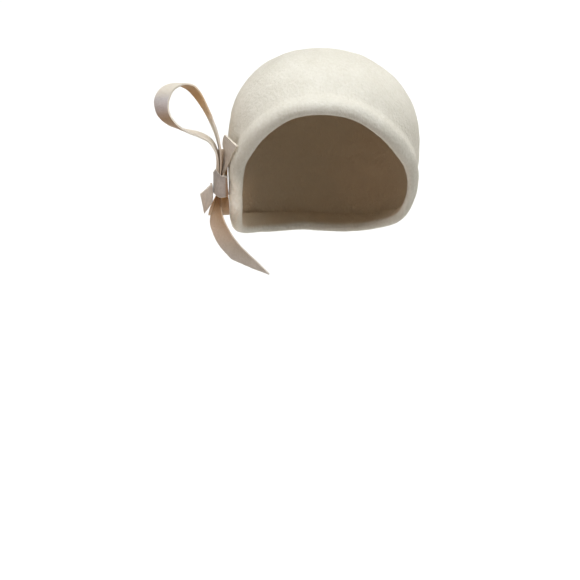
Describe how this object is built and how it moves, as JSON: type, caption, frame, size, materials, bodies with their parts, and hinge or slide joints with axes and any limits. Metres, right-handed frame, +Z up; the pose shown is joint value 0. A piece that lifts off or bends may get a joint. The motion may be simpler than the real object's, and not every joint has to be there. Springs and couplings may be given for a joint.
{
  "type": "cloche hat",
  "caption": "Wool-felt cloche hat with a rounded crown, a soft edge rolled inwards over the brow and ears, and a looped bow of cut felt strips at the wearer's right ear.",
  "frame": {"origin": "where the top of the wearer's head meets the inside of the crown", "axes": "+Z up, -Y towards the wearer's face, +X towards the wearer's left; the bow is on -X"},
  "size_m": [0.2412, 0.203, 0.2034],
  "materials": {
    "body_felt": "cream wool felt, matt and faintly pebbled",
    "bow_felt": "cream wool felt strips with plain cut edges"
  },
  "bodies": {
    "root": {"crown": "body_felt", "bow_knot": "bow_felt", "bow_loop": "bow_felt", "bow_upper_end": "bow_felt", "bow_lower_end": "bow_felt", "bow_back_end": "bow_felt", "bow_tail": "bow_felt"}
  },
  "joints": []
}
